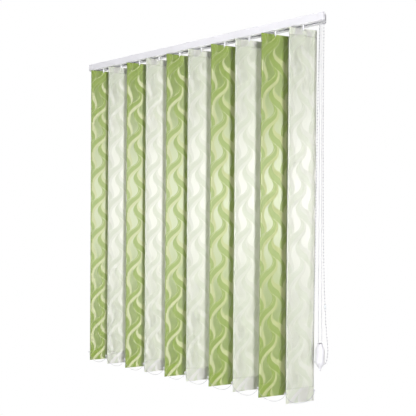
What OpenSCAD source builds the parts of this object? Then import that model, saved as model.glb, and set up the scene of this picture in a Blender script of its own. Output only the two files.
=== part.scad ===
// Vertical blind: ten fabric vanes hung from carriages in a slotted headrail.
// A bead chain turns the vanes through a tilt rod, and a cord loop draws them along the rail.
// X runs along the rail, -Y faces the room, +Z is up, and Z = 0 is the ceiling plane of the clips.

/* [Headrail] */
// Length of the rail between its two end caps
rail_l = 1176; // [1172:2:1240]
// Depth of the rail below its top lip, front to back
rail_d = 42.4; // [42.4:0.2:45]
// Height of the rail
rail_h = 31; // [31:0.5:34]
// Wall of the rail
rail_wall = 1.4; // [1.2:0.1:1.5]
// Width of the slot along the underside
slot_w = 13; // [12.5:0.5:15]
// How far the top lip stands out for the mounting clips
lip_out = 0.8; // [0.6:0.1:1.2]
// Height of the top lip
lip_h = 2.4; // [2:0.2:3]
// Rounding of the rail's lower edges
rail_edge_r = 1.2; // [0.8:0.1:1.4]

/* [Mounting clips] */
// Distance between neighbouring clips
clip_pitch = 330; // [250:5:400]
// Width of a clip along the rail
clip_w = 22; // [16:1:30]
// Thickness of the clip steel
clip_t = 1.2; // [1:0.1:1.5]
// Screw hole in a clip
clip_hole_d = 5; // [4:0.5:6]
// Room for the screw head between a clip and the rail
head_room = 3; // [2.5:0.5:5]

/* [Vanes] */
// Width of a vane
vane_w = 127; // [122:1:128]
// Length of a vane, top fold to bottom fold
vane_l = 1536; // [1450:2:1700]
// Distance from vane to vane with the blind drawn across
vane_pitch = 117; // [114:1:118]
// Angle between the vanes and the rail as built
vane_angle = 43; // [36:1:60]
// Gap between the rail and the top of a vane
vane_gap = 10; // [9:0.5:14]
// Thickness of the fabric
fabric_t = 0.5; // [0.4:0.1:0.6]
// Height of the top pocket with its bonded hanger plate
hanger_h = 32; // [26:1:40]
// Thickness of the top pocket with its hanger plate
hanger_t = 2.2; // [1.8:0.1:2.4]
// Height of the hem at the bottom
hem_h = 60; // [58:1:70]

/* [Hooks] */
// Width of a hook
hook_w = 7; // [6:0.5:8]
// Thickness of each prong of a hook
prong_t = 1.3; // [1:0.1:1.4]
// Depth of the hook hole below the top fold
hook_drop = 6.5; // [6:0.5:9]
// Diameter of the pin that carries the vane
hook_pin_d = 3; // [2.4:0.2:3.4]
// Diameter of the hole in the vane
hook_hole_d = 4.4; // [4.2:0.2:5]
// Diameter of the stem in the carriage
stem_d = 6; // [5:0.5:6]

/* [Bottom weights] */
// Thickness of a bottom weight
weight_t = 1.6; // [1.2:0.1:1.8]
// Height of a bottom weight
weight_h = 54; // [48:1:54]
// Height of the chain eyes above the bottom fold
eye_h = 42; // [36:1:46]
// Outer radius of a chain eye
eye_r = 4.8; // [4.4:0.2:5.2]

/* [Link chains] */
// Thickness of a link chain
link_d = 1.6; // [1.2:0.2:1.8]
// Diameter of the ball snapped into each eye
link_ball_d = 4.6; // [4:0.2:4.8]

/* [Carriages] */
// Length of a carriage along the rail
carriage_l = 17; // [15:0.5:17]
// Depth of a carriage body between its rollers
carriage_d = 32; // [31:0.5:32]
// Diameter of a roller
roller_d = 7.8; // [6:0.2:7.8]

/* [Tilt drive] */
// Diameter of the fluted tilt rod
rod_d = 6; // [5:0.5:6]
// Radius of the worm wheel on a stem
worm_wheel_r = 5.3; // [4.8:0.1:5.4]
// Diameter of a chain bead
bead_d = 4.5; // [4:0.1:4.6]
// Distance from bead to bead
bead_pitch = 13; // [12.6:0.2:13.4]
// Thickness of the chain's string
string_d = 1.4; // [1:0.2:1.6]

/* [Draw cord] */
// Thickness of the draw cord
cord_d = 2; // [1.6:0.2:2.2]
// Height of the cord weight's top below the rail
cord_weight_drop = 1289; // [1200:1:1320]
// Height of the cord weight
cord_weight_h = 109; // [100:1:120]
// Greatest radius of the cord weight
cord_weight_r = 17.5; // [16:0.5:18]

/* [Ends] */
// Length of the left end cap
cap_l = 24; // [22:1:30]
// Length of the control end
control_l = 27; // [27:0.5:32]
// Wall of both end covers
cover_wall = 1.5; // [1.2:0.1:1.6]
// How far an end cover stands out past the rail
cover_over = 0.6; // [0.6:0.1:1.2]
// Rounding of the end covers
cover_r = 8; // [5:0.5:9]

/* [Hidden] */
$fn = 48;
vane_count = 10;
// Fits: a running fit on a shaft, a sliding gap between parts, and a loose gap
run_fit = 0.05;
slide_gap = 0.1;
gap = 0.3;
cut = 1;

// Heights, from the ceiling down
rail_top = -clip_t - head_room;
rail_bottom = rail_top - rail_h;
floor_z = rail_bottom + rail_wall;
ceiling_z = rail_top - rail_wall;
vane_top = rail_bottom - vane_gap;
vane_bottom = vane_top - vane_l;
rail_end = rail_l / 2;
inner_y = rail_d / 2 - rail_wall;

// Places inside the rail, measured from its floor
rod_y = 10;
rod_z = floor_z + 11.6;
cord_y = -11.5;
cord_low_z = floor_z + 12.1;
cord_high_z = floor_z + 22.1;
body_low_z = floor_z + 1.2;
body_high_z = floor_z + 19.2;
neck_r = 5;
neck_drop = 1.5;
stem_r = stem_d / 2;
wheel_h = 5;
worm_r = rod_y - worm_wheel_r - gap;
worm_l = 11;
worm_ridge = 0.5;
journal_r = 2;
roller_axle_r = 1.2;
strip_t = 0.3;
strip_w = 8;
strip_step = 0.45;
strip_low_z = body_high_z + 3.4;
strip_over = 4;
post_half = [3, 2];

// Vane section, with the room side of the fabric at vane_front
vane_front = -hanger_t / 2;
hem_space = weight_t + 2 * slide_gap;
hem_back = vane_front + 2 * fabric_t + hem_space;
hem_seam = 2;
weight_y = vane_front + fabric_t + slide_gap + weight_t / 2;
weight_l = vane_w - 7;
eye_out = 3.4;
eye_x = vane_w / 2 + eye_out;
eye_z = vane_bottom + eye_h;
eye_bore_r = link_ball_d / 2 + gap + 0.2;
eye_slot = link_d + 2.6;
eye_neck = 7;

// Chain wheel and the route of the bead chain
wheel_x = rail_end + 13;
wheel_y = -2;
wheel_z = rod_z;
wheel_beads = 4;
wheel_r = wheel_beads * bead_pitch / (2 * PI);
wheel_half = bead_d / 2 + gap;
wheel_flange = 1;
wheel_pin_r = 1.5;
crown_t = 2;
pinion_l = 4;
pinion_x = wheel_x - 6.3;

// End pieces
plug_l = 12;
plug_wall = 2;
end_w = rail_d + 2 * lip_out + 2 * cover_over;
end_h = rail_h + cover_over;
edge_r = cover_r * 0.6;
corner_in = 6;
bulkhead_t = 2;
frame_wall = 1.2;
wall_top_z = ceiling_z - 4;
crown_y = wheel_y + wheel_half + wheel_flange + crown_t;
pinion_r = rod_y - crown_y - 2 * gap;
bush_l = 5;
bush_r = rod_d / 2 + 1.5;
bush_flange = 1.2;

// Cord pulleys: two in the control end and one in the left cap
guide_r = 4;
return_r = (cord_high_z - cord_low_z) / 2;
pulley_half = 2;
pulley_pin_r = 1.25;
cord_wall = cord_y + pulley_half + slide_gap;
cord_way_r = cord_d / 2 + 0.5;
guide_high = [wheel_x - 1.5, cord_high_z - guide_r];
guide_low = [wheel_x - 8.5, cord_low_z - guide_r];
return_at = [-rail_end - 10, cord_low_z + return_r];

// Cord weight
weight_x = rail_end + 19;
hang_y = -7;
cord_top_z = rail_bottom - cord_weight_drop;
cord_weight_top_r = 9.5;
cord_weight_tip_r = 3;
cord_hole_x = 6.5;
cord_hole_r = cord_d / 2 + gap;
cord_depth = 22;
loop_z = cord_top_z - 0.75 * cord_weight_h;
loop_hole_r = bead_d / 2 + 1;

// Route of the bead chain, as offsets from the rail's end along X and from the weight's hole along Z.
// The two strands hang a little apart and pass through the weight at the bottom.
chain_left = [
    [-1, -3, 900], [-3, -4, 560], [-6, -5, 250], [-13, -6, 60], [-11, -7, 28], [-6, -7, 9], [2, -7, 0]
];
chain_right = [
    [36, -7, 0], [43, -7, 10], [47, -7, 30], [49, -7, 58], [40, -6, 170], [31, -5, 370], [23, -3, 900]
];
// Route of one swag of a link chain: along the rail and down from the eye
swag = [
    [0, 0], [1.1, -3.2], [2.6, -8], [9, -20], [30, -42],
    [58.5, -50], [87, -42], [108, -20], [114.4, -8], [115.9, -3.2]
];
swag_pitch = 117;
// Half the route of the chain's end across the last vane: in from the eye, forward and down
end_swag = [[1, -1.3, -3.4], [2, -2.6, -8], [8, -3.4, -19], [32, -3.6, -38]];
end_swag_low = [0, -3.6, -43];
joiner_l = 18;
joiner_wall = 0.8;
joiner_at = 0.59;

// Colours
white = "#f2f1f5";
clear = "#dfe3e6";
steel = "#b9bcc2";
alu = "#d5d7da";
green = "#b7c489";
pale = "#e6ebdc";

// Places of the vanes
function vane_x(i) = (i - (vane_count + 1) / 2) * vane_pitch;
function turned(p) = [
    p.x * cos(vane_angle) - p.y * sin(vane_angle),
    p.x * sin(vane_angle) + p.y * cos(vane_angle)
];

// Swept tubes
function unit(v) = v / norm(v);
function heading(p, k) = unit(p[min(k + 1, len(p) - 1)] - p[max(k - 1, 0)]);
function ring(p, k, r, sides) =
    let (t = heading(p, k), u = unit(cross([0, 1, 0], t)), v = cross(t, u))
    [for (a = [0 : sides - 1]) p[k] + r * (cos(360 * a / sides) * u + sin(360 * a / sides) * v)];

module tube(p, radii, sides = 8) {
    rings = len(p);
    skin = [for (k = [0 : rings - 2]) for (a = [0 : sides - 1])
        let (b = (a + 1) % sides, low = k * sides, high = low + sides)
        each [[low + a, high + a, high + b], [low + a, high + b, low + b]]];
    start = [for (a = [1 : sides - 2]) [0, a, a + 1]];
    last = (rings - 1) * sides;
    end = [for (a = [1 : sides - 2]) [last, last + a + 1, last + a]];
    polyhedron(
        points = [for (k = [0 : rings - 1]) each ring(p, k, radii[k], sides)],
        faces = concat(skin, start, end)
    );
}

// Points of an arc in a plane across the rail's depth
function arc(centre, r, y, from, to, steps) = [for (k = [0 : steps])
    let (a = from + (to - from) * k / steps)
    [centre.x + r * cos(a), y, centre.y + r * sin(a)]];

// Length along a route up to each of its points
function run_up(p, k) = k == 0 ? 0 : run_up(p, k - 1) + norm(p[k] - p[k - 1]);
function along(p, s) =
    let (runs = [for (k = [0 : len(p) - 1]) run_up(p, k)])
    [for (axis = [0 : 2]) lookup(s, [for (k = [0 : len(p) - 1]) [runs[k], p[k][axis]]])];

chain_route = concat(
    arc([wheel_x, wheel_z], wheel_r, wheel_y, 0, 180, 12),
    [[wheel_x - wheel_r, wheel_y, rail_bottom - 12]],
    [for (p = chain_left) [rail_end + p.x, p.y, loop_z + p.z]],
    [for (p = chain_right) [rail_end + p.x, p.y, loop_z + p.z]],
    [[wheel_x + wheel_r, wheel_y, rail_bottom - 12], [wheel_x + wheel_r, wheel_y, wheel_z]]
);
chain_l = run_up(chain_route, len(chain_route) - 1);
bead_count = round(chain_l / bead_pitch);
bead_step = chain_l / bead_count;

cord_route = concat(
    [[weight_x - cord_hole_x, hang_y, cord_top_z - cord_depth],
     [weight_x - cord_hole_x, hang_y, cord_top_z + 20],
     [weight_x - cord_hole_x - 1, hang_y - 1, cord_top_z + 180],
     [guide_low.x + guide_r, cord_y, rail_bottom - 40]],
    arc(guide_low, guide_r, cord_y, 0, 90, 5),
    arc(return_at, return_r, cord_y, 270, 90, 10),
    arc(guide_high, guide_r, cord_y, 90, 0, 5),
    [[guide_high.x + guide_r, cord_y, rail_bottom - 40],
     [weight_x + cord_hole_x - 2, hang_y - 1, cord_top_z + 180],
     [weight_x + cord_hole_x, hang_y, cord_top_z + 20],
     [weight_x + cord_hole_x, hang_y, cord_top_z - cord_depth]]
);

// Small shapes
module along_x(l, r) {
    rotate([0, 90, 0]) cylinder(h = l, r = r);
}

module along_y(l, r) {
    rotate([-90, 0, 0]) cylinder(h = l, r = r);
}

module box(low, high) {
    translate(low) cube(high - low);
}

// A rectangle in X and Y with two rounded corners on its far side
module half_round(l, w, r) {
    translate([0, -w / 2]) square([l - r, w]);
    translate([0, -w / 2 + r]) square([l, w - 2 * r]);
    for (side = [-1, 1]) translate([l - r, side * (w / 2 - r)]) circle(r);
}

// A closed cap, rounded in plan and in front view, from X = 0 outwards
module cap_solid(l, w, h, r) {
    intersection() {
        translate([0, 0, -h]) linear_extrude(h) half_round(l, w, r);
        translate([0, w / 2, -h / 2]) rotate([90, 0, 0]) linear_extrude(w) half_round(l, h, edge_r);
    }
}

// Grooved wheel about Y, with the cord's centre at radius r
module pulley(r, groove_r, half, bore_r) {
    rotate([-90, 0, 0]) rotate_extrude() difference() {
        translate([bore_r, -half]) square([r + 1 - bore_r, 2 * half]);
        translate([r, 0]) circle(groove_r);
        translate([r, -groove_r]) square([2, 2 * groove_r]);
    }
}

// Gear blank with round notches for teeth
module notched(r, h, notches, notch_r) {
    difference() {
        cylinder(h = h, r = r);
        for (a = [0 : notches - 1])
            rotate([0, 0, 360 * a / notches]) translate([r + notch_r / 3, 0, -cut])
                cylinder(h = h + 2 * cut, r = notch_r);
    }
}

module in_vane(i) {
    translate([vane_x(i), 0, 0]) rotate([0, 0, vane_angle]) children();
}

// Headrail: slotted channel with a lip along both top edges
module headrail() {
    color(white) translate([-rail_end, 0, 0]) rotate([90, 0, 90]) linear_extrude(rail_l) difference() {
        union() {
            translate([-rail_d / 2, rail_bottom + rail_edge_r]) square([rail_d, rail_h - rail_edge_r]);
            translate([-rail_d / 2 + rail_edge_r, rail_bottom]) square([rail_d - 2 * rail_edge_r, rail_h]);
            for (side = [-1, 1])
                translate([side * (rail_d / 2 - rail_edge_r), rail_bottom + rail_edge_r]) circle(rail_edge_r);
            translate([-rail_d / 2 - lip_out, rail_top - lip_h]) square([rail_d + 2 * lip_out, lip_h]);
        }
        translate([-inner_y, floor_z]) square([2 * inner_y, ceiling_z - floor_z]);
        translate([-slot_w / 2, rail_bottom - cut]) square([slot_w, rail_wall + 2 * cut]);
    }
}

// Three white steel clips that grip both lips, with a low claw in front and a step up to the ceiling behind it
module mounting_clips() {
    lip_y = rail_d / 2 + lip_out + slide_gap;
    foot_z = rail_top - lip_h - slide_gap;
    step_y = 10;
    shoulder = 5;
    color(white) for (k = [-1 : 1]) translate([k * clip_pitch - clip_w / 2, 0, 0]) difference() {
        union() {
            box([0, -step_y, -clip_t], [clip_w, lip_y + clip_t, 0]);
            box([0, -step_y, rail_top], [clip_w, clip_t - step_y, 0]);
            box([0, -lip_y - clip_t, rail_top], [clip_w, clip_t - step_y, rail_top + clip_t]);
            box([0, lip_y - shoulder, rail_top], [clip_w, lip_y + clip_t, 0]);
            for (side = [0, 1]) mirror([0, side, 0]) {
                box([0, lip_y, foot_z - clip_t], [clip_w, lip_y + clip_t, rail_top + clip_t]);
                box([0, lip_y - lip_out, foot_z - clip_t], [clip_w, lip_y + clip_t, foot_z]);
            }
        }
        translate([clip_w / 2, 0, -clip_t - cut]) cylinder(h = clip_t + 2 * cut, d = clip_hole_d);
    }
}

// Plug of an end piece, a frame that slides into the rail from X = 0 inwards
module plug(l) {
    difference() {
        box([-l, -inner_y + slide_gap, floor_z + slide_gap], [0, inner_y - slide_gap, ceiling_z - slide_gap]);
        box([-l - cut, -inner_y + plug_wall, floor_z + plug_wall],
            [cut, inner_y - plug_wall, ceiling_z - plug_wall]);
        box([-l - cut, -slot_w / 2, floor_z - cut], [cut, slot_w / 2, floor_z + 3]);
    }
}

// Left end cap: shell with a plug, a seat for the rod bush and two cheeks for the return pulley
module left_end_cap() {
    cheek = 1.4;
    cheek_y = pulley_half + slide_gap;
    seat_half = 7;
    color(white) difference() {
        union() {
            mirror([1, 0, 0]) translate([rail_end, 0, rail_top]) difference() {
                cap_solid(cap_l, end_w, end_h, cover_r);
                box([-cut, -inner_y, -rail_h + rail_wall],
                    [cap_l - cover_wall, inner_y, -rail_wall]);
            }
            translate([-rail_end, 0, 0]) mirror([1, 0, 0]) plug(plug_l);
            for (y = [cord_y - cheek_y - cheek, cord_y + cheek_y])
                box([-rail_end - cap_l + cover_wall, y, floor_z], [-rail_end, y + cheek, ceiling_z]);
            box([-rail_end - bush_l, rod_y - seat_half, floor_z], [-rail_end, inner_y, ceiling_z]);
        }
        translate([return_at.x, cord_y - cheek_y - cheek - cut, return_at.y])
            along_y(2 * (cheek_y + cheek + cut), pulley_pin_r + run_fit);
        translate([-rail_end - bush_l - cut, rod_y, rod_z]) along_x(bush_l + 2 * cut, bush_r + run_fit);
    }
}

// Flanged bush that carries the rod in the left cap
module rod_bush() {
    color(clear) translate([-rail_end - bush_l, rod_y, rod_z]) difference() {
        union() {
            along_x(bush_l, bush_r);
            translate([bush_l, 0, 0]) along_x(bush_flange, bush_r + bush_flange);
        }
        translate([-cut, 0, 0]) along_x(bush_l + bush_flange + 2 * cut, rod_d / 2 + run_fit);
    }
}

// Control frame: floor, bulkhead and walls that carry the chain wheel and the cord pulleys
module control_frame() {
    end_x = rail_end + control_l - cover_wall - slide_gap;
    front_wall = 2 * cord_y - cord_wall;
    pocket_half = pulley_half + slide_gap;
    color(white) difference() {
        union() {
            translate([rail_end, 0, 0]) plug(plug_l);
            box([rail_end, -inner_y, rail_bottom], [end_x - edge_r, inner_y, floor_z]);
            box([rail_end, -inner_y + corner_in, rail_bottom], [end_x, inner_y - corner_in, floor_z]);
            box([rail_end, -inner_y, rail_bottom], [rail_end + bulkhead_t, inner_y, ceiling_z - slide_gap]);
            box([rail_end, cord_wall, rail_bottom], [end_x, cord_wall + frame_wall, wall_top_z]);
            box([rail_end, front_wall - frame_wall, rail_bottom],
                [guide_high.x + guide_r + 3, front_wall, wall_top_z]);
            box([pinion_x + pinion_l / 2 + 2, crown_y + gap, rail_bottom],
                [end_x, crown_y + gap + frame_wall, wall_top_z]);
        }
        // openings for the rod, the cords and the chain
        translate([rail_end - cut, rod_y, rod_z]) along_x(bulkhead_t + 2 * cut, rod_d / 2 + run_fit);
        for (z = [cord_low_z, cord_high_z])
            translate([rail_end - cut, cord_y, z]) along_x(bulkhead_t + 2 * cut, cord_way_r);
        box([rail_end - cut, cord_y - pocket_half, guide_low.y - guide_r - 2 * cut],
            [rail_end + bulkhead_t + cut, cord_y + pocket_half, cord_low_z + 2 * cut]);
        for (x = [guide_low.x + guide_r, guide_high.x + guide_r])
            translate([x, cord_y, rail_bottom - cut]) cylinder(h = rail_wall + 2 * cut, r = cord_way_r);
        box([wheel_x - wheel_r - bead_d / 2 - 1, wheel_y - wheel_half, rail_bottom - cut],
            [wheel_x + wheel_r + bead_d / 2 + 1, wheel_y + wheel_half, floor_z + cut]);
        // bores for the axle pins
        translate([wheel_x, cord_wall - cut, wheel_z])
            along_y(crown_y + gap + frame_wall - cord_wall + 2 * cut, wheel_pin_r + run_fit);
        for (at = [guide_low, guide_high])
            translate([at.x, front_wall - frame_wall - cut, at.y])
                along_y(2 * (pocket_half + frame_wall + cut), pulley_pin_r + run_fit);
    }
}

// Control cover: the rounded shell over the control frame
module control_cover() {
    inside_l = control_l - cover_wall;
    inside_y = inner_y + slide_gap;
    color(white) translate([rail_end, 0, rail_top]) difference() {
        cap_solid(control_l, end_w, end_h, cover_r);
        box([-cut, -inside_y, -end_h - cut], [inside_l - edge_r, inside_y, -rail_wall]);
        box([-cut, corner_in - inside_y, -end_h - cut], [inside_l, inside_y - corner_in, -rail_wall]);
    }
}

// Tilt rod: fluted aluminium with a pinion pressed on its control end
module tilt_rod() {
    flutes = 3;
    flute_r = 0.8;
    color(alu) {
        translate([-rail_end - 4, rod_y, rod_z]) rotate([90, 0, 90])
            linear_extrude(pinion_x + pinion_l / 2 + rail_end + 4) difference() {
                circle(d = rod_d);
                for (a = [0 : flutes - 1]) rotate(360 * a / flutes) translate([rod_d / 2, 0]) circle(flute_r);
            }
        translate([pinion_x - pinion_l / 2, rod_y, rod_z]) rotate([0, 90, 0])
            notched(pinion_r, pinion_l, 10, 0.8);
    }
}

// Chain wheel: a groove with low grip ribs under the beads, and a crown of teeth behind
module chain_wheel() {
    rib_r = wheel_r - bead_d / 2 - gap;
    rib_h = 0.6;
    ribs = 3 * wheel_beads;
    flange_r = wheel_r + 0.6;
    crown_teeth = 16;
    color(white) translate([wheel_x, wheel_y, wheel_z]) difference() {
        union() {
            translate([0, -wheel_half, 0]) along_y(2 * wheel_half, rib_r - rib_h);
            for (y = [-wheel_half - wheel_flange, wheel_half])
                translate([0, y, 0]) along_y(wheel_flange, flange_r);
            for (a = [0 : ribs - 1]) rotate([0, 360 * a / ribs, 0])
                box([0, -wheel_half, -rib_h], [rib_r, wheel_half, rib_h]);
            translate([0, wheel_half + wheel_flange, 0]) along_y(crown_t, flange_r - 1.2);
        }
        translate([0, -10, 0]) along_y(20, wheel_pin_r + run_fit);
        translate([0, wheel_half + wheel_flange, 0]) along_y(crown_t + cut, flange_r - 4);
        for (a = [0 : crown_teeth - 1]) rotate([0, 360 * a / crown_teeth, 0])
            translate([flange_r - 5, wheel_half + wheel_flange + crown_t, 0]) along_x(5, 0.55);
    }
}

// Pulleys of the draw cord
module guide_pulley(at) {
    color(clear) translate([at.x, cord_y, at.y])
        pulley(guide_r, cord_d / 2 + gap, pulley_half, pulley_pin_r + run_fit);
}

module return_pulley() {
    color(clear) translate([return_at.x, cord_y, return_at.y])
        pulley(return_r, cord_d / 2 + gap, pulley_half, pulley_pin_r + run_fit);
}

module upper_pulley() {
    guide_pulley(guide_high);
}

module lower_pulley() {
    guide_pulley(guide_low);
}

// Steel pins of the chain wheel and of the three pulleys
module axle_pins() {
    pulley_pin = 2 * (pulley_half + slide_gap + frame_wall);
    color(steel) {
        translate([wheel_x, cord_wall, wheel_z]) along_y(crown_y + gap + frame_wall - cord_wall, wheel_pin_r);
        for (at = [guide_low, guide_high, return_at])
            translate([at.x, cord_y - pulley_pin / 2, at.y]) along_y(pulley_pin, pulley_pin_r);
    }
}

// Bead chain: moulded beads on a string, over the wheel and through the cord weight
module bead_chain() {
    color(white) for (k = [0 : bead_count - 1])
        translate(along(chain_route, k * bead_step)) sphere(d = bead_d);
}

module chain_string() {
    color(white) tube(chain_route, [for (p = chain_route) string_d / 2]);
}

// Clear sleeve that joins the chain's two ends, near the foot of its right strand
module chain_joiner() {
    s = chain_l * joiner_at;
    low = along(chain_route, s);
    high = along(chain_route, s + joiner_l);
    d = unit(high - low);
    bore_r = bead_d / 2 + gap;
    color(clear) translate(low) rotate([0, acos(d.z), atan2(d.y, d.x)]) difference() {
        cylinder(h = joiner_l, r = bore_r + joiner_wall);
        translate([0, 0, -cut]) cylinder(h = joiner_l + 2 * cut, r = bore_r);
    }
}

// Draw cord: one loop along the rail, round the pulleys and down into the cord weight
module draw_cord() {
    color(white) tube(cord_route, [for (p = cord_route) cord_d / 2]);
}

// Cord weight: a turned drop with two cord holes and a cross hole for the chain
module cord_weight() {
    steps = 6;
    shoulder = 0.27;
    waist = 0.68;
    blend = function (k) 0.5 - 0.5 * cos(180 * k / steps);
    upper = [for (k = [0 : steps])
        [cord_weight_top_r + (cord_weight_r - cord_weight_top_r) * blend(k),
         -cord_weight_h * shoulder * k / steps]];
    lower = [for (k = [0 : steps])
        [cord_weight_r + (cord_weight_tip_r - cord_weight_r) * blend(k),
         -cord_weight_h * (waist + (1 - waist) * k / steps)]];
    color(white) difference() {
        translate([weight_x, hang_y, cord_top_z]) rotate_extrude()
            polygon(concat([[0, 0]], upper, lower, [[0, -cord_weight_h]]));
        for (side = [-1, 1])
            translate([weight_x + side * cord_hole_x, hang_y, cord_top_z - cord_depth - 2])
                cylinder(h = cord_depth + 2 + cut, r = cord_hole_r);
        translate([weight_x - 2 * cord_weight_r, hang_y, loop_z]) along_x(4 * cord_weight_r, loop_hole_r);
    }
}

// Carriage: body on four rollers with a worm on the rod and a strip that spaces the next carriage
module carriage(i) {
    half = carriage_l / 2;
    roller_r = roller_d / 2;
    roller_x = half - roller_r - gap;
    roller_z = floor_z + gap + roller_r;
    wheel_room = worm_wheel_r + 0.4;
    worm_room = worm_r + 0.5;
    rod_way_r = rod_d / 2 + 0.4;
    cord_slot_r = cord_d / 2 + 0.6;
    worm_end = 0.3;
    strip_z = strip_low_z + (i - 2) * strip_step;
    color(white) translate([vane_x(i), 0, 0]) {
        difference() {
            union() {
                box([-half, -carriage_d / 2, body_low_z], [half, carriage_d / 2, body_high_z]);
                translate([0, 0, rail_bottom - neck_drop])
                    cylinder(h = body_low_z - rail_bottom + neck_drop, r = neck_r);
            }
            translate([0, 0, rail_bottom - neck_drop - cut])
                cylinder(h = rod_z - rail_bottom + neck_drop, r = stem_r + run_fit);
            translate([0, 0, rod_z]) cylinder(h = wheel_h / 2 + 3.2, r = journal_r + run_fit);
            translate([0, 0, rod_z - wheel_h / 2 - slide_gap])
                cylinder(h = wheel_h + 2 * slide_gap, r = wheel_room);
            box([-worm_l / 2, rod_y - worm_room, rod_z - worm_room],
                [worm_l / 2, rod_y + worm_room, rod_z + worm_room]);
            translate([-half - cut, rod_y, rod_z]) along_x(carriage_l + 2 * cut, rod_way_r);
            translate([-half - cut, cord_y, cord_low_z]) along_x(carriage_l + 2 * cut, cord_slot_r);
        }
        // worm
        difference() {
            union() {
                translate([-worm_l / 2 - worm_end, rod_y, rod_z])
                    along_x(worm_l + 2 * worm_end, worm_r - worm_ridge);
                for (x = [-4 : 2 : 4]) translate([x - 0.5, rod_y, rod_z]) along_x(1, worm_r);
            }
            translate([-half, rod_y, rod_z]) along_x(carriage_l, rod_way_r);
        }
        // rollers on their axles
        for (side = [0, 1], x = [-roller_x, roller_x]) mirror([0, side, 0])
            translate([x, carriage_d / 2, roller_z]) {
                translate([0, -cut, 0]) along_y(2 * cut, roller_axle_r);
                translate([0, gap, 0]) along_y(inner_y - carriage_d / 2 - 2 * gap, roller_r);
            }
        // spacer strip on its post
        if (i > 1) {
            box([-post_half.x, -post_half.y, body_high_z - cut], [post_half.x, post_half.y, strip_z + strip_t]);
            box([-vane_pitch - strip_over, -strip_w / 2, strip_z], [post_half.x, strip_w / 2, strip_z + strip_t]);
        }
    }
}

// Hook: stem with its worm wheel, and a fork whose pin carries the vane
module hook(i) {
    prong_y = hanger_t / 2 + gap;
    block_top = rail_bottom - neck_drop - 0.6;
    block_low = vane_top + 1;
    pin_z = vane_top - hook_drop + (hook_hole_d - hook_pin_d) / 2 - slide_gap;
    color(white) in_vane(i) {
        translate([0, 0, block_top - 0.5]) cylinder(h = rod_z - block_top + 0.5, r = stem_r);
        translate([0, 0, rod_z - wheel_h / 2]) notched(worm_wheel_r, wheel_h, 12, 0.7);
        translate([0, 0, rod_z]) cylinder(h = wheel_h / 2 + 3, r = journal_r);
        box([-hook_w / 2, -prong_y - prong_t, block_low], [hook_w / 2, prong_y + prong_t, block_top]);
        box([-hook_w / 2, -prong_y - prong_t, vane_top - hook_drop + 2.2], [hook_w / 2, -prong_y, block_low]);
        box([-hook_w / 2, prong_y, vane_top - hook_drop - 4], [hook_w / 2, prong_y + prong_t, block_low]);
        translate([0, vane_front - 1.2, pin_z])
            along_y(prong_y + prong_t / 2 - vane_front + 1.2, hook_pin_d / 2);
    }
}

// Slat: fabric with a bonded hanger at the top and a hem pocket at the bottom
module slat(i) {
    color(i % 2 == 1 ? green : pale) in_vane(i) difference() {
        translate([-vane_w / 2, 0, 0]) rotate([90, 0, 90]) linear_extrude(vane_w) difference() {
            union() {
                translate([vane_front, vane_bottom]) square([fabric_t, vane_l]);
                translate([vane_front, vane_top - hanger_h]) square([hanger_t, hanger_h]);
                translate([vane_front, vane_bottom]) square([hem_back - vane_front, hem_h]);
            }
            translate([vane_front + fabric_t, vane_bottom + fabric_t])
                square([hem_space, hem_h - fabric_t - hem_seam]);
        }
        translate([0, -hanger_t, vane_top - hook_drop]) along_y(2 * hanger_t, hook_hole_d / 2);
    }
}

// Bottom weight: a plate in the hem with an open eye at each end for the link chains
module weight(i) {
    low = vane_bottom + fabric_t;
    color(white) in_vane(i) translate([0, weight_y + weight_t / 2, 0]) rotate([90, 0, 0])
        linear_extrude(weight_t) difference() {
            union() {
                translate([-weight_l / 2, low]) square([weight_l, weight_h]);
                translate([-eye_x, eye_z - eye_neck / 2]) square([2 * eye_x, eye_neck]);
                for (side = [-1, 1]) translate([side * eye_x, eye_z]) circle(eye_r);
            }
            for (side = [-1, 1]) {
                translate([side * eye_x, eye_z]) circle(eye_bore_r);
                translate([side * eye_x - eye_slot / 2, eye_z - eye_r - cut]) square([eye_slot, eye_r + cut]);
            }
        }
}

// Link chain along one edge of the vanes: a ball in every eye and a swag from eye to eye
module link_chain(side) {
    eye = turned([side * eye_x, weight_y]);
    swags = [for (i = [1 : vane_count - 1]) each [for (p = swag)
        [vane_x(i) + eye.x + p.x * vane_pitch / swag_pitch, eye.y, eye_z + p.y]]];
    route = concat(swags, [[vane_x(vane_count) + eye.x, eye.y, eye_z]]);
    radii = [for (k = [0 : len(route) - 1]) (k % len(swag) == 0 ? link_ball_d : link_d) / 2];
    color(white) tube(route, radii);
}

module front_link_chain() {
    link_chain(-1);
}

module back_link_chain() {
    link_chain(1);
}

// The chain's end, brought across the front of the last vane from eye to eye
module end_link_chain() {
    left = [for (p = end_swag) [p.x - eye_x, weight_y + p.y, eye_z + p.z]];
    right = [for (k = [len(left) - 1 : -1 : 0]) [-left[k].x, left[k].y, left[k].z]];
    route = concat(left, [[0, weight_y + end_swag_low.y, eye_z + end_swag_low.z]], right);
    color(white) in_vane(vane_count) tube(route, [for (p = route) link_d / 2]);
}

headrail();
mounting_clips();
left_end_cap();
control_frame();
control_cover();
tilt_rod();
rod_bush();
chain_wheel();
bead_chain();
chain_string();
chain_joiner();
draw_cord();
cord_weight();
return_pulley();
upper_pulley();
lower_pulley();
axle_pins();
front_link_chain();
back_link_chain();
end_link_chain();
for (i = [1 : vane_count]) {
    carriage(i);
    hook(i);
    slat(i);
    weight(i);
}
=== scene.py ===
import math

import bmesh
import bpy
from mathutils import Matrix, Vector


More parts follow.
